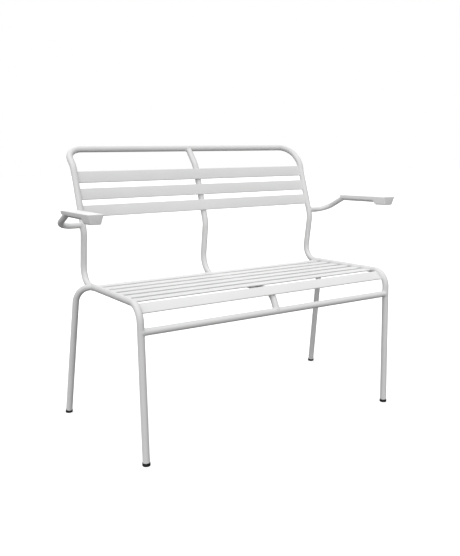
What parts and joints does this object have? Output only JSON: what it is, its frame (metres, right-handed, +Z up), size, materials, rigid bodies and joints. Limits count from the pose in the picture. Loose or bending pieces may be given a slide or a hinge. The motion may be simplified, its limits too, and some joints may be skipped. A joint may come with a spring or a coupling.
{
  "type": "garden bench",
  "caption": "Garden bench of bent round steel tube with flat cross slats on its seat and back, and a moulded pad on each arm tube.",
  "frame": {"origin": "on the floor, at the centre of the bench's box", "axes": "+X along the bench's length, +Z up; the open front of the seat faces -Y"},
  "size_m": [1.0714, 0.5747, 0.8417],
  "materials": {
    "coated_steel": "satin white powder coat",
    "pad_plastic": "satin white moulded plastic",
    "glide_plastic": "matt black plastic",
    "screw_steel": "zinc plated"
  },
  "bodies": {
    "root": {"arm_pad_left": "pad_plastic", "arm_pad_right": "pad_plastic", "arm_tube_left": "coated_steel", "arm_tube_right": "coated_steel", "back_slat_1": "coated_steel", "back_slat_2": "coated_steel", "back_slat_3": "coated_steel", "centre_tube": "coated_steel", "front_cross_rail": "coated_steel", "glide_front_left": "glide_plastic", "glide_front_right": "glide_plastic", "glide_rear_left": "glide_plastic", "glide_rear_right": "glide_plastic", "pad_screw_left": "screw_steel", "pad_screw_right": "screw_steel", "rear_leg_left": "coated_steel", "rear_leg_right": "coated_steel", "seat_slat_1": "coated_steel", "seat_slat_2": "coated_steel", "seat_slat_3": "coated_steel", "seat_slat_4": "coated_steel", "seat_slat_5": "coated_steel", "seat_slat_6": "coated_steel", "seat_slat_7": "coated_steel", "side_frame_left": "coated_steel", "side_frame_right": "coated_steel", "top_rail_sleeve": "coated_steel"}
  },
  "joints": []
}
